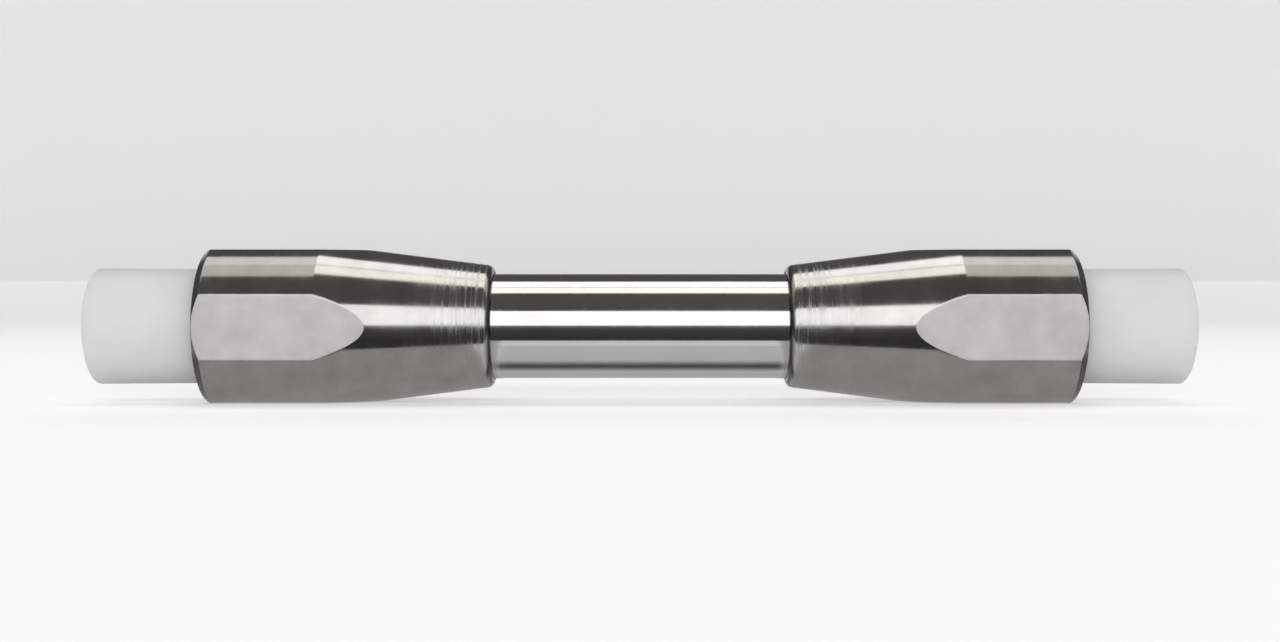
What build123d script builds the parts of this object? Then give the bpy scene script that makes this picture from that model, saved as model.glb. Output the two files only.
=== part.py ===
from build123d import *
import os

os.makedirs("parts", exist_ok=True)

# A short liquid chromatography column, lying along X with its middle at the origin.
# Each end has the same stack: screen, sealing element, PTFE ring and fitting adaptor,
# pressed onto the tube's end face by a conical head, with a protective plug in its port.

# Column tube: plain in the middle, threaded M8 x 0.75 at both ends.
tube_length = 50.0
tube_diameter = 8.3
bore_diameter = 4.6
tube_thread_diameter = 8.0
tube_thread_length = 10.4
relief_width = 0.9
relief_diameter = 6.9
tube_end_chamfer = 0.4

# Head: 13 mm round bar with four 12 mm wrench flats, turned down to a cone.
bar_diameter = 13.0
wrench_size = 12.0
grip_length = 9.2
cone_length = 13.3
small_end_diameter = 9.6
small_end_rounding = 0.6
end_chamfer_length = 0.6
guide_length = 3.4
thread_overrun = 0.6
port_thread_length = 4.2
port_diameter = 4.83
port_mouth_chamfer = 0.35

# Stack between the tube's end face and the head's shoulder.
stack_diameter = 7.0
sealing_element_thickness = 0.8
sealing_element_hole = 2.0
screen_diameter = 6.0
screen_thickness = 0.2
ptfe_ring_thickness = 0.8
spigot_diameter = 4.1
adaptor_flange_thickness = 3.2
ferrule_mouth_diameter = 3.1
ferrule_cone_depth = 2.0
capillary_diameter = 1.65
capillary_stop_depth = 2.9
flow_hole_diameter = 0.5

# Protective plug: a round grip and a screwed shank.
plug_grip_length = 8.8
plug_grip_diameter = 9.1
plug_edge_chamfer = 0.15
plug_shank_length = 3.8
plug_shank_chamfer = 0.4

# Radial clearances.
guide_clearance = 0.05
thread_clearance = 0.05
stack_clearance = 0.05
port_clearance = 0.05
bed_clearance = 0.02

# Distances from the middle of the column, outwards along its axis.
tube_end = tube_length / 2
thread_start = tube_end - tube_thread_length
sealing_element_end = tube_end + sealing_element_thickness
ptfe_ring_end = sealing_element_end + ptfe_ring_thickness
shoulder = ptfe_ring_end + adaptor_flange_thickness
head_end = shoulder + port_thread_length
grip_start = head_end - grip_length
head_start = grip_start - cone_length
thread_bore_start = head_start + guide_length
thread_bore_end = tube_end + thread_overrun
plug_start = head_end - plug_shank_length
plug_end = head_end + plug_grip_length
plug_shank_radius = port_diameter / 2 - port_clearance

with BuildPart() as column_tube:
    with BuildSketch(Plane.XZ):
        with BuildLine():
            Polyline(
                (0, bore_diameter / 2),
                (tube_end, bore_diameter / 2),
                (tube_end, tube_thread_diameter / 2 - tube_end_chamfer),
                (tube_end - tube_end_chamfer, tube_thread_diameter / 2),
                (thread_start + relief_width, tube_thread_diameter / 2),
                (thread_start + relief_width, relief_diameter / 2),
                (thread_start, relief_diameter / 2),
                (thread_start, tube_diameter / 2),
                (0, tube_diameter / 2),
            )
            mirror(about=Plane.YZ)
        make_face()
    revolve(axis=Axis.X)
column_tube.part.label = "column_tube"
export_step(column_tube.part, "parts/column_tube.step")

with BuildPart() as packed_bed:
    with BuildSketch(Plane.YZ):
        Circle(bore_diameter / 2 - bed_clearance)
    extrude(amount=tube_end, both=True)
packed_bed.part.label = "packed_bed"
export_step(packed_bed.part, "parts/packed_bed.step")

for end, direction in {"inlet": -1, "outlet": 1}.items():
    # Half sections are drawn with their first axis outwards and their second axis up.
    section = Plane(origin=(0, 0, 0), x_dir=(direction, 0, 0), z_dir=(0, -direction, 0))

    with BuildPart() as head:
        with BuildSketch(section):
            with BuildLine():
                Polyline(
                    (head_start, 0),
                    (head_start, small_end_diameter / 2),
                    (grip_start, bar_diameter / 2),
                    (head_end - end_chamfer_length, bar_diameter / 2),
                    (head_end, wrench_size / 2),
                    (head_end, 0),
                    close=True,
                )
            make_face()
            small_end_corner = vertices().group_by(Axis.X)[0].sort_by(Axis.Y)[-1]
            fillet(small_end_corner, radius=small_end_rounding)
        revolve(axis=Axis.X)

        # Four flats, milled along the axis, run out on the cone.
        with BuildSketch(Plane.YZ):
            Rectangle(wrench_size, wrench_size)
        extrude(amount=direction * head_end, mode=Mode.INTERSECT)

        # Stepped bore: guide for the tube, thread, seat for the stack and port.
        with BuildSketch(section):
            with BuildLine():
                Polyline(
                    (head_start, 0),
                    (head_start, tube_diameter / 2 + guide_clearance),
                    (thread_bore_start, tube_diameter / 2 + guide_clearance),
                    (thread_bore_start, tube_thread_diameter / 2 + thread_clearance),
                    (thread_bore_end, tube_thread_diameter / 2 + thread_clearance),
                    (thread_bore_end, stack_diameter / 2 + stack_clearance),
                    (shoulder, stack_diameter / 2 + stack_clearance),
                    (shoulder, port_diameter / 2),
                    (head_end - port_mouth_chamfer, port_diameter / 2),
                    (head_end, port_diameter / 2 + port_mouth_chamfer),
                    (head_end, 0),
                    close=True,
                )
            make_face()
        revolve(axis=Axis.X, mode=Mode.SUBTRACT)
    head.part.label = f"{end}_head"
    export_step(head.part, f"parts/{end}_head.step")

    with BuildPart() as fitting_adaptor:
        with BuildSketch(section):
            with BuildLine():
                Polyline(
                    (sealing_element_end, flow_hole_diameter / 2),
                    (sealing_element_end, spigot_diameter / 2),
                    (ptfe_ring_end, spigot_diameter / 2),
                    (ptfe_ring_end, stack_diameter / 2),
                    (shoulder, stack_diameter / 2),
                    (shoulder, ferrule_mouth_diameter / 2),
                    (shoulder - ferrule_cone_depth, capillary_diameter / 2),
                    (shoulder - capillary_stop_depth, capillary_diameter / 2),
                    (shoulder - capillary_stop_depth, flow_hole_diameter / 2),
                    close=True,
                )
            make_face()
        revolve(axis=Axis.X)
    fitting_adaptor.part.label = f"{end}_fitting_adaptor"
    export_step(fitting_adaptor.part, f"parts/{end}_fitting_adaptor.step")

    with BuildPart() as ptfe_ring:
        with BuildSketch(section):
            with BuildLine():
                Polyline(
                    (sealing_element_end, spigot_diameter / 2 + stack_clearance),
                    (sealing_element_end, stack_diameter / 2),
                    (ptfe_ring_end, stack_diameter / 2),
                    (ptfe_ring_end, spigot_diameter / 2 + stack_clearance),
                    close=True,
                )
            make_face()
        revolve(axis=Axis.X)
    ptfe_ring.part.label = f"{end}_ptfe_ring"
    export_step(ptfe_ring.part, f"parts/{end}_ptfe_ring.step")

    with BuildPart() as sealing_element:
        with BuildSketch(section):
            with BuildLine():
                Polyline(
                    (sealing_element_end, sealing_element_hole / 2),
                    (sealing_element_end, stack_diameter / 2),
                    (tube_end, stack_diameter / 2),
                    (tube_end, screen_diameter / 2 + stack_clearance),
                    (tube_end + screen_thickness, screen_diameter / 2 + stack_clearance),
                    (tube_end + screen_thickness, sealing_element_hole / 2),
                    close=True,
                )
            make_face()
        revolve(axis=Axis.X)
    sealing_element.part.label = f"{end}_sealing_element"
    export_step(sealing_element.part, f"parts/{end}_sealing_element.step")

    with BuildPart() as screen:
        with BuildSketch(Plane.YZ.offset(direction * tube_end)):
            Circle(screen_diameter / 2)
        extrude(amount=direction * screen_thickness)
    screen.part.label = f"{end}_screen"
    export_step(screen.part, f"parts/{end}_screen.step")

    with BuildPart() as plug:
        with BuildSketch(section):
            with BuildLine():
                Polyline(
                    (plug_start, 0),
                    (plug_start, plug_shank_radius - plug_shank_chamfer),
                    (plug_start + plug_shank_chamfer, plug_shank_radius),
                    (head_end, plug_shank_radius),
                    (head_end, plug_grip_diameter / 2),
                    (plug_end - plug_edge_chamfer, plug_grip_diameter / 2),
                    (plug_end, plug_grip_diameter / 2 - plug_edge_chamfer),
                    (plug_end, 0),
                    close=True,
                )
            make_face()
        revolve(axis=Axis.X)
    plug.part.label = f"{end}_plug"
    export_step(plug.part, f"parts/{end}_plug.step")
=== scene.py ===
import math

import bpy
from mathutils import Matrix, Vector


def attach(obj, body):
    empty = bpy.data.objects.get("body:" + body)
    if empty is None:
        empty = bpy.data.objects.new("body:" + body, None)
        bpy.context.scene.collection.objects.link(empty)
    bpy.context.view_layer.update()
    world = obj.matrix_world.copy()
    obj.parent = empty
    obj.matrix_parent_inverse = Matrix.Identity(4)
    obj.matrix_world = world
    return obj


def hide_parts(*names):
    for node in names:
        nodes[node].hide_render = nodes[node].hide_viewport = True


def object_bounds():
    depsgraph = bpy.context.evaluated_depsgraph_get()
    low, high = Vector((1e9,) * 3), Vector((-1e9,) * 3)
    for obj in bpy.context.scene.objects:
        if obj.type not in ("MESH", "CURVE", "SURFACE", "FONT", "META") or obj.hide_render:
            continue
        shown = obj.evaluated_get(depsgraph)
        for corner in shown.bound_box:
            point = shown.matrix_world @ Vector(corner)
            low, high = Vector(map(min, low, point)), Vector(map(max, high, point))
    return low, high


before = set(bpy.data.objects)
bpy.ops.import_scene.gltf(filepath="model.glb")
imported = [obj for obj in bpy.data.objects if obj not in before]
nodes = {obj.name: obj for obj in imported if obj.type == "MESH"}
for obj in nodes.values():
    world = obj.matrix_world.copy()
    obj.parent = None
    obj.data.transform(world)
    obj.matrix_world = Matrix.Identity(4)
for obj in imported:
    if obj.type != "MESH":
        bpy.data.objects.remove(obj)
cadBounds = [list(corner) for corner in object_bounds()]
mm = 0.001
weldDistance = 2e-7
cutTolerance = 1e-8
print("frame loaded:", ", ".join(sorted(nodes)))


def deselectAll():
    if bpy.context.object and bpy.context.object.mode != "OBJECT":
        bpy.ops.object.mode_set(mode="OBJECT")
    bpy.ops.object.select_all(action="DESELECT")


def pick(piece):
    deselectAll()
    piece.select_set(True)
    bpy.context.view_layer.objects.active = piece


def applyModifier(piece, modifier):
    pick(piece)
    bpy.ops.object.modifier_apply(modifier=modifier.name)


def drawOutline(name, outline):
    # one vertex, extruded from point to point; each point is (along the column, radius) in mm
    deselectAll()
    firstX, firstR = outline[0]
    bpy.ops.mesh.primitive_plane_add(size=mm, location=(firstX * mm, 0, firstR * mm))
    piece = bpy.context.object
    piece.name = piece.data.name = name
    bpy.ops.object.transform_apply(location=True, rotation=False, scale=False)
    bpy.ops.object.mode_set(mode="EDIT")
    bpy.ops.mesh.select_all(action="SELECT")
    bpy.ops.mesh.merge(type="CENTER")
    for (fromX, fromR), (toX, toR) in zip(outline, outline[1:]):
        step = ((toX - fromX) * mm, 0, (toR - fromR) * mm)
        bpy.ops.mesh.extrude_vertices_move(TRANSFORM_OT_translate={"value": step})
    return piece


def turnedPiece(name, outline, steps):
    # spins the drawn outline round the column's axis and closes seam and poles
    piece = drawOutline(name, outline)
    bpy.ops.mesh.select_all(action="SELECT")
    bpy.ops.mesh.spin(steps=steps, angle=2 * math.pi, center=(0, 0, 0), axis=(1, 0, 0))
    bpy.ops.mesh.select_all(action="SELECT")
    bpy.ops.mesh.remove_doubles(threshold=weldDistance)
    bpy.ops.mesh.normals_make_consistent(inside=False)
    bpy.ops.object.mode_set(mode="OBJECT")
    return piece


def threadCutter(name, cutter):
    # a closed coil with a V section, which cuts one thread; baseRadius is its wide side
    half = cutter["baseWidth"] / 2
    tip = cutter["tipWidth"] / 2
    start = cutter["from"]
    section = [
        (start - half, cutter["baseRadius"]),
        (start - tip, cutter["tipRadius"]),
        (start + tip, cutter["tipRadius"]),
        (start + half, cutter["baseRadius"]),
        (start - half, cutter["baseRadius"]),
    ]
    coil = drawOutline(name, section)
    bpy.ops.mesh.select_all(action="SELECT")
    bpy.ops.mesh.remove_doubles(threshold=weldDistance)
    bpy.ops.object.mode_set(mode="OBJECT")
    screw = coil.modifiers.new("screw", "SCREW")
    screw.axis = "X"
    screw.angle = 2 * math.pi
    screw.screw_offset = cutter["pitch"] * mm
    screw.iterations = cutter["turns"]
    screw.steps = screw.render_steps = cutter["steps"]
    applyModifier(coil, screw)
    bpy.ops.object.mode_set(mode="EDIT")
    bpy.ops.mesh.select_all(action="SELECT")
    bpy.ops.mesh.remove_doubles(threshold=weldDistance)
    bpy.ops.mesh.select_all(action="DESELECT")
    bpy.ops.mesh.select_mode(type="EDGE")
    bpy.ops.mesh.select_non_manifold()
    bpy.ops.mesh.fill()
    bpy.ops.mesh.select_all(action="SELECT")
    bpy.ops.mesh.normals_make_consistent(inside=False)
    bpy.ops.mesh.select_mode(type="VERT")
    bpy.ops.object.mode_set(mode="OBJECT")
    return coil


def cutThread(piece, coil):
    cut = piece.modifiers.new("thread", "BOOLEAN")
    cut.operation = "DIFFERENCE"
    cut.solver = "EXACT"
    cut.object = coil
    applyModifier(piece, cut)
    bpy.data.objects.remove(coil)


def turnedRound(piece, name):
    # the same piece at the other end, half a turn round the vertical, so threads keep their hand
    other = piece.copy()
    other.data = piece.data.copy()
    other.name = other.data.name = name
    bpy.context.scene.collection.objects.link(other)
    other.data.transform(Matrix.Rotation(math.pi, 4, "Z"))
    return other


def smoothByAngle(piece, degrees):
    pick(piece)
    bpy.ops.object.shade_smooth_by_angle(angle=math.radians(degrees), keep_sharp_edges=True)


def startMaterial(name):
    material = bpy.data.materials.new(name)
    material.use_nodes = True
    tree = material.node_tree
    return material, tree, tree.nodes["Principled BSDF"]


def mixColours(tree, factor, first, second):
    mix = tree.nodes.new("ShaderNodeMix")
    mix.data_type = "RGBA"
    mix.inputs[6].default_value = (*first, 1)
    mix.inputs[7].default_value = (*second, 1)
    tree.links.new(factor, mix.inputs[0])
    return mix.outputs[2]


def mapRange(tree, source, sourceRange, targetRange=(0, 1)):
    ranged = tree.nodes.new("ShaderNodeMapRange")
    for index, value in enumerate((*sourceRange, *targetRange), start=1):
        ranged.inputs[index].default_value = value
    tree.links.new(source, ranged.inputs[0])
    return ranged.outputs[0]


def mathNode(tree, operation, first, second=None):
    node = tree.nodes.new("ShaderNodeMath")
    node.operation = operation
    for index, value in enumerate((first, second)):
        if value is None:
            continue
        if isinstance(value, (int, float)):
            node.inputs[index].default_value = value
        else:
            tree.links.new(value, node.inputs[index])
    return node.outputs[0]


noiseSpan = (0.3, 0.7)  # where nearly all of a noise's values lie


def stretchedNoise(tree, coordinates, scales, detail, roughness=0.5):
    mapping = tree.nodes.new("ShaderNodeMapping")
    mapping.inputs["Scale"].default_value = scales
    noise = tree.nodes.new("ShaderNodeTexNoise")
    noise.inputs["Scale"].default_value = 1
    noise.inputs["Detail"].default_value = detail
    noise.inputs["Roughness"].default_value = roughness
    tree.links.new(coordinates, mapping.inputs["Vector"])
    tree.links.new(mapping.outputs["Vector"], noise.inputs["Vector"])
    return noise.outputs["Fac"]


paper = {"roughness": 0.9, "specular": 0.1, "glowTint": (1, 1, 0.99, 1)}


def paperMaterial(name, look):
    # pale matt paper; a little glow on straight and mirrored sight lines keeps it near white
    material, tree, shader = startMaterial(name)
    shader.inputs["Base Color"].default_value = (look["grey"], look["grey"], look["grey"], 1)
    shader.inputs["Roughness"].default_value = paper["roughness"]
    shader.inputs["Specular IOR Level"].default_value = paper["specular"]
    if "glow" in look:
        path = tree.nodes.new("ShaderNodeLightPath").outputs
        direct = mathNode(tree, "MAXIMUM", path["Is Camera Ray"], path["Is Glossy Ray"])
        seen = mathNode(tree, "MAXIMUM", direct, path["Is Transmission Ray"])
        glow = mathNode(tree, "MULTIPLY", seen, look["glow"])
        tree.links.new(glow, shader.inputs["Emission Strength"])
        shader.inputs["Emission Color"].default_value = look.get("glowTint", paper["glowTint"])
    return material


cameraSettings = {
    "distance": 0.128, "height": 0.0024, "frameWidth": 0.1015, "aimHeight": 0.0004,
    "sensorWidth": 36, "clipStart": 0.005, "clipEnd": 10,
}
cameraData = bpy.data.cameras.new("camera")
camera = bpy.data.objects.new("camera", cameraData)
bpy.context.scene.collection.objects.link(camera)
camera.location = (0, -cameraSettings["distance"], cameraSettings["height"])
lookDown = cameraSettings["height"] - cameraSettings["aimHeight"]
tilt = math.atan2(lookDown, cameraSettings["distance"])
camera.rotation_euler = (math.pi / 2 - tilt, 0, 0)
zoom = cameraSettings["distance"] / cameraSettings["frameWidth"]
cameraData.sensor_width = cameraSettings["sensorWidth"]
cameraData.lens = cameraSettings["sensorWidth"] * zoom
cameraData.clip_start = cameraSettings["clipStart"]
cameraData.clip_end = cameraSettings["clipEnd"]
bpy.context.scene.camera = camera

coolWhite = (1, 0.99, 0.99)
softWhite = (1, 1, 0.99)
creamWhite = (1, 1, 0.91)
plainWhite = (1, 1, 1)
lampHeight = 0.35
lamps = {
    "backLeft": {
        "size": (0.43, 0.1185), "place": (-0.29, 0.0863, lampHeight), "power": 0.157,
        "tint": coolWhite,
    },
    "backMiddle": {
        "size": (0.15, 0.1285), "place": (0, 0.0953, lampHeight), "power": 0.095,
        "tint": coolWhite,
    },
    "backRight": {
        "size": (0.43, 0.1185), "place": (0.29, 0.0863, lampHeight), "power": 0.157,
        "tint": coolWhite,
    },
    "frontLeft": {
        "size": (0.43, 0.1290), "place": (-0.29, -0.0390, lampHeight), "power": 0.120,
        "tint": creamWhite,
    },
    "frontMiddle": {
        "size": (0.15, 0.1035), "place": (0, -0.0273, lampHeight), "power": 0.073,
        "tint": creamWhite,
    },
    "frontRight": {
        "size": (0.43, 0.1290), "place": (0.29, -0.0390, lampHeight), "power": 0.120,
        "tint": creamWhite,
    },
    "frontStrip": {
        "size": (1.1, 0.270), "place": (0, -0.43, 0.150), "aim": (0, 0, 0.150), "power": 1.50,
        "tint": softWhite,
    },
    # two lamps which the steel doesn't mirror
    "frontFill": {
        "size": (1.2, 0.3), "place": (0, -0.6, 0.16), "aim": (0, 0, 0), "power": 2.3,
        "tint": plainWhite, "mirrored": False,
    },
    "backFill": {
        "size": (1.2, 0.25), "place": (0, 0.6, 0.26), "aim": (0, 0, 0), "power": 1.7,
        "tint": plainWhite, "mirrored": False,
    },
}
for lampName, lamp in lamps.items():
    lampData = bpy.data.lights.new(lampName, "AREA")
    lampData.shape = "RECTANGLE"
    lampData.size, lampData.size_y = lamp["size"]
    lampData.energy = lamp["power"]
    lampData.color = lamp["tint"]
    lampObject = bpy.data.objects.new(lampName, lampData)
    bpy.context.scene.collection.objects.link(lampObject)
    lampObject.location = lamp["place"]
    straightDown = (*lamp["place"][:2], 0)
    beam = [aim - place for aim, place in zip(lamp.get("aim", straightDown), lamp["place"])]
    lampObject.rotation_euler = (math.atan2(beam[1], -beam[2]), 0, 0)
    lampObject.visible_camera = False
    lampObject.visible_glossy = lamp.get("mirrored", True)

worldSettings = {"colour": (1, 0.97, 0.93, 1), "strength": 0.10}
world = bpy.data.worlds.new("studio")
bpy.context.scene.world = world
world.use_nodes = True
background = world.node_tree.nodes["Background"]
background.inputs["Color"].default_value = worldSettings["colour"]
background.inputs["Strength"].default_value = worldSettings["strength"]
bpy.context.scene.view_settings.view_transform = "Standard"

# a round sheet of pale paper that curves up into a wall
stageSettings = {
    "floorHeight": cadBounds[0][2],
    "sides": 96,
    "middleRadius": 0.03,
    "floorRadius": 0.42,
    "cornerRadius": 0.08,
    "cornerRows": 8,
    "wallHeight": 0.17,
    "paleUpTo": 0.012,  # the wall's grey starts this high above the floor
    "smoothAngle": 40,
    "floor": {"grey": 0.93, "glow": 0.36},
    "wall": {"grey": 0.80, "glow": 0.33},
}
deselectAll()
floorZ = stageSettings["floorHeight"]
radius = stageSettings["middleRadius"]
bpy.ops.mesh.primitive_circle_add(vertices=stageSettings["sides"], radius=radius,
                                  fill_type="NGON", location=(0, 0, floorZ))
backdrop = bpy.context.object
backdrop.name = backdrop.data.name = "backdrop"
bpy.ops.object.transform_apply(location=True)
bpy.ops.object.mode_set(mode="EDIT")
bpy.ops.mesh.select_all(action="SELECT")
rings = [(stageSettings["floorRadius"], 0)]
corner = stageSettings["cornerRadius"]
for row in range(1, stageSettings["cornerRows"] + 1):
    angle = math.radians(90 * row / stageSettings["cornerRows"])
    ringRadius = stageSettings["floorRadius"] + corner * math.sin(angle)
    rings.append((ringRadius, corner * (1 - math.cos(angle))))
rings.append((rings[-1][0], stageSettings["wallHeight"]))
height = 0
bpy.ops.mesh.select_mode(type="EDGE")
for ringRadius, ringHeight in rings:
    step = (0, 0, ringHeight - height)
    bpy.ops.mesh.extrude_edges_move(TRANSFORM_OT_translate={"value": step})
    grow = ringRadius / radius
    bpy.ops.transform.resize(value=(grow, grow, 1), center_override=(0, 0, 0))
    radius, height = ringRadius, ringHeight
bpy.ops.mesh.select_mode(type="VERT")
bpy.ops.object.mode_set(mode="OBJECT")
smoothByAngle(backdrop, stageSettings["smoothAngle"])
backdrop.data.materials.append(paperMaterial("paleFloor", stageSettings["floor"]))
backdrop.data.materials.append(paperMaterial("paleWall", stageSettings["wall"]))
for polygon in backdrop.data.polygons:
    if polygon.center.z > floorZ + stageSettings["paleUpTo"]:
        polygon.material_index = 1

# cards which only reflections see: the flags give polished metal its dark lines, as studio flags
# do;
# the cards under the tube and heads stand in for the floor there, with painted shade that darkens
# towards and under the tube and heads; "atBothEnds" adds a second one at the other end of the
# column
tubeCardFade = (0.0107, 0.0123)  # the cards under the tube fade out here, near the heads
cards = {
    "frontFlag": {"centre": (0, -0.2314, 0.0005), "size": (1.2, 0.44), "grey": 0.062},
    "stripBacking": {
        "centre": (0, -0.4450, 0.131), "size": (1.2, 0.26), "turn": 90, "grey": 0.02,
    },
    "backFlag": {"centre": (0, 0.17, 0.0005), "size": (1.2, 0.26), "grey": 0.035},
    # the floor under the tube as the steel mirrors it, with painted shade: lightest in front,
    # darker nearer and behind the tube
    "edgeCard": {
        "centre": (0, -0.0100, 0.0004), "size": (0.0260, 0.0028), "grey": 0.3, "glow": 0.64,
        "fade": {"X": tubeCardFade},
    },
    "middleFrontCard": {
        "centre": (0, -0.0045, 0.0003), "size": (0.0260, 0.0082), "grey": 0.25, "glow": 0.5,
        "fade": {"X": tubeCardFade},
    },
    "middleBackCard": {
        "centre": (0, 0.0014, 0.0003), "size": (0.0260, 0.0044), "grey": 0.3, "glow": 0.38,
        "fade": {"X": tubeCardFade},
    },
    # painted shade: a dark card under the tube stands in for its contact shadow on the floor, as
    # the steel mirrors it
    "tubeShadowCard": {
        "centre": (0, -0.00245, 0.0005), "size": (0.0260, 0.0032), "grey": 0.14, "glow": 0.05,
        "fade": {"X": tubeCardFade, "Y": (0, 0.0016)},
    },
    # painted shade: a dark card under each head stands in for the heads' shadow on the floor, as
    # their steel mirrors it, with a glow that keeps that shade even
    "headShadowCard": {
        "centre": (0.0287, 0, 0.0001), "size": (0.0346, 0.025), "grey": 0.07, "glow": 0.355,
        "glowTint": (1, 0.975, 0.93, 1), "atBothEnds": True,
    },
    "sideFlag": {
        "centre": (0.34, 0, 0.15), "size": (0.30, 0.50), "side": 90, "grey": 0.35,
        "atBothEnds": True,
    },
}


def fadeCard(tree, look):
    # the card fades out between two distances from its middle
    coordinates = tree.nodes.new("ShaderNodeTexCoord").outputs["Object"]
    separate = tree.nodes.new("ShaderNodeSeparateXYZ")
    tree.links.new(coordinates, separate.inputs[0])
    alpha = 1
    for axis, fadeRange in look["fade"].items():
        middle = look["centre"]["XY".index(axis)]
        offset = mathNode(tree, "SUBTRACT", separate.outputs[axis], middle)
        fade = mapRange(tree, mathNode(tree, "ABSOLUTE", offset), fadeRange, (1, 0))
        fade.node.interpolation_type = "SMOOTHSTEP"
        alpha = mathNode(tree, "MULTIPLY", fade, alpha)
    tree.links.new(alpha, tree.nodes["Principled BSDF"].inputs["Alpha"])


def addCard(name, look, end):
    deselectAll()
    bpy.ops.mesh.primitive_plane_add(size=1)
    card = bpy.context.object
    card.name = card.data.name = name
    x, y, z = look["centre"]
    place = Matrix.Translation((end * x, y, floorZ + z))
    turn = Matrix.Rotation(math.radians(look.get("turn", 0)), 4, "X")
    side = Matrix.Rotation(math.radians(look.get("side", 0)), 4, "Y")
    card.data.transform(place @ turn @ side @ Matrix.Diagonal((*look["size"], 1, 1)))
    card.data.materials.append(paperMaterial(name + "Paper", look))
    if "fade" in look:
        fadeCard(card.data.materials[0].node_tree, look)
    card.visible_camera = card.visible_diffuse = False
    card.visible_shadow = card.visible_transmission = False


for cardName, look in cards.items():
    addCard(cardName, look, 1)
    if look.get("atBothEnds"):
        addCard(cardName + "Left", look, -1)
print("camera, light and stage ready")


steelPattern = {
    "clouds": {"detail": 4, "roughness": 0.55},
    "lines": {"detail": 3, "roughness": 0.6},
    "lineSpan": (0.42, 0.62),
    "edgeSamples": 8,
}


def steelMaterial(name, look):
    material, tree, shader = startMaterial(name)
    coordinates = tree.nodes.new("ShaderNodeTexCoord").outputs["Object"]
    cloudScales = (look["cloudScale"],) * 3
    clouds = stretchedNoise(tree, coordinates, cloudScales, **steelPattern["clouds"])
    lines = stretchedNoise(tree, coordinates, look["lineScales"], **steelPattern["lines"])
    cloudShare = mapRange(tree, clouds, noiseSpan)
    colour = mixColours(tree, cloudShare, look["dark"], look["light"])
    shader.inputs["Metallic"].default_value = 1

    separate = tree.nodes.new("ShaderNodeSeparateXYZ")
    tree.links.new(coordinates, separate.inputs[0])
    along = mathNode(tree, "ABSOLUTE", separate.outputs["X"])
    if "crevice" in look:
        # painted shade: the base colour darkens towards a head's small end, standing in for the
        # shade in the gap between the small end and the tube, where little light gets in
        openShare = mapRange(tree, along, [reach * mm for reach in look["crevice"]])
        shade = [look["creviceShade"] * part for part in look["dark"]]
        paintedCreviceShade = mixColours(tree, openShare, shade, look["dark"])
        tree.links.new(colour, paintedCreviceShade.node.inputs[7])
        colour = paintedCreviceShade
    tree.links.new(colour, shader.inputs["Base Color"])

    # the turning lines grow stronger towards the small end of a head
    lineRange = [reach * mm for reach in look["lineRange"]]
    lineMask = mapRange(tree, along, lineRange, look["lineStrength"])
    cloudRoughness = mapRange(tree, clouds, noiseSpan, look["roughness"])
    lineShare = mapRange(tree, lines, steelPattern["lineSpan"])
    lineRoughness = mathNode(tree, "MULTIPLY", lineMask, look["lineRoughness"])
    addedRoughness = mathNode(tree, "MULTIPLY", lineShare, lineRoughness)
    roughness = mathNode(tree, "ADD", cloudRoughness, addedRoughness)
    tree.links.new(roughness, shader.inputs["Roughness"])

    bevel = tree.nodes.new("ShaderNodeBevel")
    bevel.samples = steelPattern["edgeSamples"]
    bevel.inputs["Radius"].default_value = look["edgeRadius"] * mm
    bump = tree.nodes.new("ShaderNodeBump")
    bump.inputs["Strength"].default_value = 1
    bump.inputs["Distance"].default_value = look["lineDepth"] * mm
    tree.links.new(mathNode(tree, "MULTIPLY", lines, lineMask), bump.inputs["Height"])
    tree.links.new(bevel.outputs["Normal"], bump.inputs["Normal"])
    tree.links.new(bump.outputs["Normal"], shader.inputs["Normal"])
    return material


# lineRange and crevice are mm along the column from its middle
steelLooks = {
    "polishedSteel": {
        "dark": (0.60, 0.595, 0.58), "light": (0.66, 0.655, 0.64),
        "roughness": (0.06, 0.10), "lineRoughness": 0.03, "cloudScale": 160,
        "lineScales": (9000, 90, 90), "lineDepth": 0.0006, "lineStrength": (1, 1),
        "lineRange": (0, 1), "edgeRadius": 0.03,
    },
    "turnedSteel": {
        "dark": (0.475, 0.465, 0.45), "light": (0.58, 0.575, 0.56),
        "roughness": (0.09, 0.15), "lineRoughness": 0.20, "cloudScale": 420,
        "lineScales": (5400, 200, 200), "lineDepth": 0.0008, "lineStrength": (1, 0.12),
        "lineRange": (12.6, 18.6), "edgeRadius": 0.18,
        # crevice and creviceShade paint shade into the gap at a head's small end
        "crevice": (11.6, 11.95), "creviceShade": 0.14,
    },
    # painted reflection: chamferSteel's near-black colour stands in for the dark surroundings
    # which the real chamfer mirrors
    "chamferSteel": {
        "dark": (0.13, 0.127, 0.123), "light": (0.17, 0.166, 0.162),
        "roughness": (0.16, 0.22), "lineRoughness": 0.05, "cloudScale": 420,
        "lineScales": (7600, 240, 240), "lineDepth": 0.001, "lineStrength": (1, 1),
        "lineRange": (0, 1), "edgeRadius": 0.06,
    },
    # painted light: milledSteel's base colour is lighter than the other steels, standing in for
    # more light on the flats
    "milledSteel": {
        "dark": (0.75, 0.735, 0.72), "light": (0.93, 0.915, 0.90),
        "roughness": (0.42, 0.50), "lineRoughness": 0.05, "cloudScale": 420,
        "lineScales": (300, 5200, 5200), "lineDepth": 0.001, "lineStrength": (1, 1),
        "lineRange": (0, 1), "edgeRadius": 0.18,
    },
}
steels = {name: steelMaterial(name, look) for name, look in steelLooks.items()}


plasticPattern = {
    "clouds": {"detail": 3, "roughness": 0.5},
    "grain": {"detail": 4, "roughness": 0.6},
    "depthByColour": (1, 0.98, 0.96),
}


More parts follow.
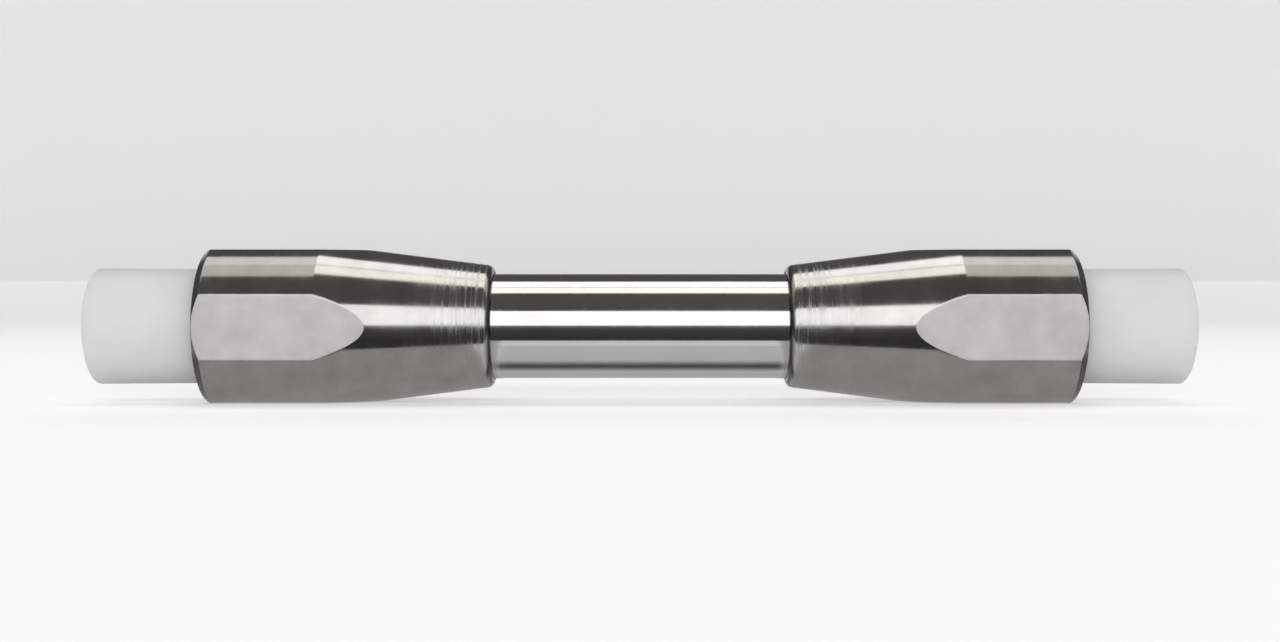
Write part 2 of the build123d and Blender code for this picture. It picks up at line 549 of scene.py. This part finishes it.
def plasticMaterial(name, look):
    material, tree, shader = startMaterial(name)
    coordinates = tree.nodes.new("ShaderNodeTexCoord").outputs["Object"]
    cloudScales = (look["cloudScale"],) * 3
    clouds = stretchedNoise(tree, coordinates, cloudScales, **plasticPattern["clouds"])
    grainScales = (look["grainScale"],) * 3
    grain = stretchedNoise(tree, coordinates, grainScales, **plasticPattern["grain"])
    colour = mixColours(tree, mapRange(tree, clouds, noiseSpan), look["dark"], look["light"])
    tree.links.new(colour, shader.inputs["Base Color"])
    roughness = mapRange(tree, grain, noiseSpan, look["roughness"])
    tree.links.new(roughness, shader.inputs["Roughness"])
    shader.inputs["Specular IOR Level"].default_value = look["specular"]
    shader.inputs["Subsurface Weight"].default_value = look["subsurface"]
    shader.inputs["Subsurface Radius"].default_value = plasticPattern["depthByColour"]
    shader.inputs["Subsurface Scale"].default_value = look["subsurfaceDepth"] * mm
    bump = tree.nodes.new("ShaderNodeBump")
    bump.inputs["Strength"].default_value = 1
    bump.inputs["Distance"].default_value = look["grainDepth"] * mm
    tree.links.new(grain, bump.inputs["Height"])
    tree.links.new(bump.outputs["Normal"], shader.inputs["Normal"])
    return material


plasticLooks = {
    "plugPlastic": {
        "dark": (0.82, 0.82, 0.82), "light": (0.86, 0.86, 0.86), "roughness": (0.42, 0.55),
        "cloudScale": 260, "grainScale": 5200, "grainDepth": 0.0022,
        "specular": 0.4, "subsurface": 0.9, "subsurfaceDepth": 3.6,
    },
    "sealPlastic": {
        "dark": (0.78, 0.78, 0.76), "light": (0.84, 0.84, 0.83), "roughness": (0.45, 0.6),
        "cloudScale": 500, "grainScale": 7000, "grainDepth": 0.002,
        "specular": 0.35, "subsurface": 0.25, "subsurfaceDepth": 0.5,
    },
}
plastics = {name: plasticMaterial(name, look) for name, look in plasticLooks.items()}


def wovenMaterial(name, look):
    # fine square weave of steel wire, across the screen's face
    material, tree, shader = startMaterial(name)
    coordinates = tree.nodes.new("ShaderNodeTexCoord").outputs["Object"]
    waves = []
    for axis in ("Y", "Z"):
        wave = tree.nodes.new("ShaderNodeTexWave")
        wave.bands_direction = axis
        wave.inputs["Scale"].default_value = look["wireScale"]
        wave.inputs["Distortion"].default_value = look["distortion"]
        tree.links.new(coordinates, wave.inputs["Vector"])
        waves.append(wave.outputs["Fac"])
    weave = mathNode(tree, "MAXIMUM", *waves)
    colour = mixColours(tree, weave, look["gap"], look["wire"])
    tree.links.new(colour, shader.inputs["Base Color"])
    tree.links.new(mapRange(tree, weave, (0, 1), look["roughness"]), shader.inputs["Roughness"])
    shader.inputs["Metallic"].default_value = 1
    bump = tree.nodes.new("ShaderNodeBump")
    bump.inputs["Distance"].default_value = look["depth"] * mm
    tree.links.new(weave, bump.inputs["Height"])
    tree.links.new(bump.outputs["Normal"], shader.inputs["Normal"])
    return material


def packedMaterial(name, look):
    # packed white silica, granular and matt
    material, tree, shader = startMaterial(name)
    coordinates = tree.nodes.new("ShaderNodeTexCoord").outputs["Object"]
    cells = tree.nodes.new("ShaderNodeTexVoronoi")
    cells.inputs["Scale"].default_value = look["grainScale"]
    tree.links.new(coordinates, cells.inputs["Vector"])
    clouds = stretchedNoise(tree, coordinates, (look["cloudScale"],) * 3, look["cloudDetail"])
    grains = mathNode(tree, "MULTIPLY", cells.outputs["Distance"], clouds)
    gapShare = mapRange(tree, grains, look["grainSpan"])
    colour = mixColours(tree, gapShare, look["grain"], look["gap"])
    tree.links.new(colour, shader.inputs["Base Color"])
    roughness = mapRange(tree, clouds, noiseSpan, look["roughness"])
    tree.links.new(roughness, shader.inputs["Roughness"])
    bump = tree.nodes.new("ShaderNodeBump")
    bump.inputs["Distance"].default_value = look["depth"] * mm
    tree.links.new(cells.outputs["Distance"], bump.inputs["Height"])
    tree.links.new(bump.outputs["Normal"], shader.inputs["Normal"])
    return material


wovenLook = {
    "gap": (0.16, 0.155, 0.15), "wire": (0.56, 0.55, 0.53), "roughness": (0.55, 0.3),
    "wireScale": 1400, "distortion": 0.3, "depth": 0.03,
}
packedLook = {
    "grain": (0.84, 0.83, 0.80), "gap": (0.70, 0.69, 0.66), "roughness": (0.8, 0.95),
    "grainScale": 9000, "grainSpan": (0, 0.5), "cloudScale": 900, "cloudDetail": 4, "depth": 0.04,
}
wovenSteel = wovenMaterial("wovenSteel", wovenLook)
packedSilica = packedMaterial("packedSilica", packedLook)
print("materials ready")

tube = {
    "end": 25.0, "outerRadius": 4.15, "boreRadius": 2.3, "edgeBreak": 0.08,
    "reliefStart": 14.6, "reliefEnd": 15.5, "reliefRadius": 3.45, "reliefSlope": 0.25,
    "threadRadius": 4.0, "endChamfer": 0.4, "steps": 192, "smoothAngle": 20,
    "cutter": {
        "pitch": 0.75, "turns": 14, "steps": 96, "from": 15.2,
        "tipRadius": 3.55, "tipWidth": 0.14, "baseRadius": 4.04, "baseWidth": 0.70,
    },
}
rightHalf = [
    (tube["end"], tube["boreRadius"]),
    (tube["end"], tube["threadRadius"] - tube["endChamfer"]),
    (tube["end"] - tube["endChamfer"], tube["threadRadius"]),
    (tube["reliefEnd"], tube["threadRadius"]),
    (tube["reliefEnd"] - tube["reliefSlope"], tube["reliefRadius"]),
    (tube["reliefStart"], tube["reliefRadius"]),
    (tube["reliefStart"], tube["outerRadius"] - tube["edgeBreak"]),
    (tube["reliefStart"] - tube["edgeBreak"], tube["outerRadius"]),
]
leftHalf = [(-x, r) for x, r in reversed(rightHalf)]
columnTube = turnedPiece("columnTube", rightHalf + leftHalf + rightHalf[:1], tube["steps"])
for threadEnd in ("outlet", "inlet"):
    tubeCutter = threadCutter("tubeThread", tube["cutter"])
    if threadEnd == "inlet":
        tubeCutter.data.transform(Matrix.Rotation(math.pi, 4, "Z"))
    cutThread(columnTube, tubeCutter)
smoothByAngle(columnTube, tube["smoothAngle"])
columnTube.data.materials.append(steels["polishedSteel"])
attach(columnTube, "tube")
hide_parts("column_tube")
print("column tube:", len(columnTube.data.polygons), "faces")

head = {
    "start": 11.5, "gripStart": 24.8, "end": 34.0,
    "smallRadius": 4.8, "barRadius": 6.5, "flatDistance": 6.0,
    "rounding": 0.6, "roundingRows": 18, "endChamfer": 0.6,
    "guideRadius": 4.2, "guideEnd": 14.9, "guideSlope": 0.15,
    "threadRadius": 4.05, "threadEnd": 25.6,
    "seatRadius": 3.55, "shoulder": 29.81,  # a hair clear of the adaptor, whose face is at 29.8
    "portRadius": 2.415, "portChamfer": 0.35,
    "steps": 192, "smoothAngle": 5.2,
    "flatSlack": 0.001, "flatNormal": 0.9999, "chamferNormal": (0.3, 0.9),
    "tubeTap": {
        "pitch": 0.75, "turns": 13, "steps": 96, "from": 15.2,
        "tipRadius": 4.42, "tipWidth": 0.1, "baseRadius": 4.01, "baseWidth": 0.60,
    },
    "portTap": {  # 32 turns to the inch
        "pitch": 0.79375, "turns": 5, "steps": 96, "from": 30.4,
        "tipRadius": 2.76, "tipWidth": 0.1, "baseRadius": 2.38, "baseWidth": 0.60,
    },
}
# the small end's rounding is an arc which runs from the end face into the cone
slant = math.atan2(head["barRadius"] - head["smallRadius"], head["gripStart"] - head["start"])
arcX = head["start"] + head["rounding"]
arcR = head["smallRadius"] + head["rounding"] * (math.tan(slant) - 1 / math.cos(slant))
headOutline = []
for row in range(head["roundingRows"] + 1):
    turn = math.pi - (math.pi / 2 - slant) * row / head["roundingRows"]
    headOutline.append((arcX + head["rounding"] * math.cos(turn),
                        arcR + head["rounding"] * math.sin(turn)))
headOutline += [
    (head["gripStart"], head["barRadius"]),
    (head["end"] - head["endChamfer"], head["barRadius"]),
    (head["end"], head["flatDistance"]),
    (head["end"], head["portRadius"] + head["portChamfer"]),
    (head["end"] - head["portChamfer"], head["portRadius"]),
    (head["shoulder"], head["portRadius"]),
    (head["shoulder"], head["seatRadius"]),
    (head["threadEnd"], head["seatRadius"]),
    (head["threadEnd"], head["threadRadius"]),
    (head["guideEnd"], head["threadRadius"]),
    (head["guideEnd"] - head["guideSlope"], head["guideRadius"]),
    (head["start"], head["guideRadius"]),
    headOutline[0],
]
outletHead = turnedPiece("outletHead", headOutline, head["steps"])
cutThread(outletHead, threadCutter("tubeTap", head["tubeTap"]))
cutThread(outletHead, threadCutter("portTap", head["portTap"]))

# four flats, milled off the bar and running out on the cone
pick(outletHead)
bpy.ops.object.mode_set(mode="EDIT")
for side in ((0, -1, 0), (0, 1, 0), (0, 0, 1), (0, 0, -1)):
    bpy.ops.mesh.select_all(action="SELECT")
    face = tuple(part * head["flatDistance"] * mm for part in side)
    bpy.ops.mesh.bisect(plane_co=face, plane_no=side, use_fill=True, clear_outer=True,
                        threshold=cutTolerance)
bpy.ops.object.mode_set(mode="OBJECT")
for steelName in ("turnedSteel", "milledSteel", "chamferSteel"):
    outletHead.data.materials.append(steels[steelName])
flatReach = head["flatDistance"] * mm
chamferStart = (head["end"] - head["endChamfer"]) * mm
leastSlant, mostSlant = head["chamferNormal"]
for polygon in outletHead.data.polygons:
    centre, normal = polygon.center, polygon.normal
    reach = max(abs(centre.y), abs(centre.z))
    atFlat = abs(reach - flatReach) < head["flatSlack"] * mm
    level = max(abs(normal.y), abs(normal.z)) > head["flatNormal"]
    slanted = leastSlant < normal.x < mostSlant
    if atFlat and level:
        polygon.material_index = 1
    elif centre.x > chamferStart and slanted and reach > flatReach / 2:
        polygon.material_index = 2
smoothByAngle(outletHead, head["smoothAngle"])
inletHead = turnedRound(outletHead, "inletHead")
for end, piece in (("outlet", outletHead), ("inlet", inletHead)):
    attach(piece, f"{end}_head")
    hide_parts(f"{end}_head")
print("heads:", len(outletHead.data.polygons), "faces each")

plug = {
    "shankStart": 30.2, "shankRadius": 2.365, "tipChamfer": 0.4,
    "flange": 34.0, "end": 42.8, "gripRadius": 4.52, "endRadius": 4.58,
    "edgeBreak": 0.08, "edgeRounding": 0.22, "edgeRows": 6,
    "gateRadius": 0.75, "gateDepth": 0.15, "gateSlope": 0.12,
    "gateTipBase": 0.3, "gateTipTop": 0.2, "gateTipHeight": 0.08,
    "steps": 128, "smoothAngle": 22,
    "cutter": {  # 32 turns to the inch
        "pitch": 0.79375, "turns": 5, "steps": 96, "from": 29.6,
        "tipRadius": 1.93, "tipWidth": 0.14, "baseRadius": 2.40, "baseWidth": 0.68,
    },
}
plugOutline = [
    (plug["shankStart"], 0),
    (plug["shankStart"], plug["shankRadius"] - plug["tipChamfer"]),
    (plug["shankStart"] + plug["tipChamfer"], plug["shankRadius"]),
    (plug["flange"], plug["shankRadius"]),
    (plug["flange"], plug["gripRadius"] - plug["edgeBreak"]),
    (plug["flange"] + plug["edgeBreak"], plug["gripRadius"]),
]
for row in range(plug["edgeRows"] + 1):
    angle = math.radians(90 * row / plug["edgeRows"])
    plugOutline.append((plug["end"] - plug["edgeRounding"] * (1 - math.sin(angle)),
                        plug["endRadius"] - plug["edgeRounding"] * (1 - math.cos(angle))))
gateFloor = plug["end"] - plug["gateDepth"]
plugOutline += [
    (plug["end"], plug["gateRadius"] + plug["gateSlope"]),
    (gateFloor, plug["gateRadius"]),
    (gateFloor, plug["gateTipBase"]),
    (gateFloor + plug["gateTipHeight"], plug["gateTipTop"]),
    (gateFloor + plug["gateTipHeight"], 0),
]
outletPlug = turnedPiece("outletPlug", plugOutline, plug["steps"])
cutThread(outletPlug, threadCutter("plugThread", plug["cutter"]))
outletPlug.data.materials.append(plastics["plugPlastic"])
smoothByAngle(outletPlug, plug["smoothAngle"])
inletPlug = turnedRound(outletPlug, "inletPlug")
for end, piece in (("outlet", outletPlug), ("inlet", inletPlug)):
    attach(piece, f"{end}_plug")
    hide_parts(f"{end}_plug")
print("plugs:", len(outletPlug.data.polygons), "faces each")

# the stack and the bed keep their CAD shapes
insideFinishes = {
    "fitting_adaptor": steels["turnedSteel"],
    "ptfe_ring": plastics["sealPlastic"],
    "sealing_element": plastics["sealPlastic"],
    "screen": wovenSteel,
}
for nodeName, node in nodes.items():
    finish = packedSilica if nodeName == "packed_bed" else None
    for ending, material in insideFinishes.items():
        if nodeName.endswith(ending):
            finish = material
    if finish:
        for materialSlot in node.material_slots:
            materialSlot.material = finish
print("inside pieces finished")
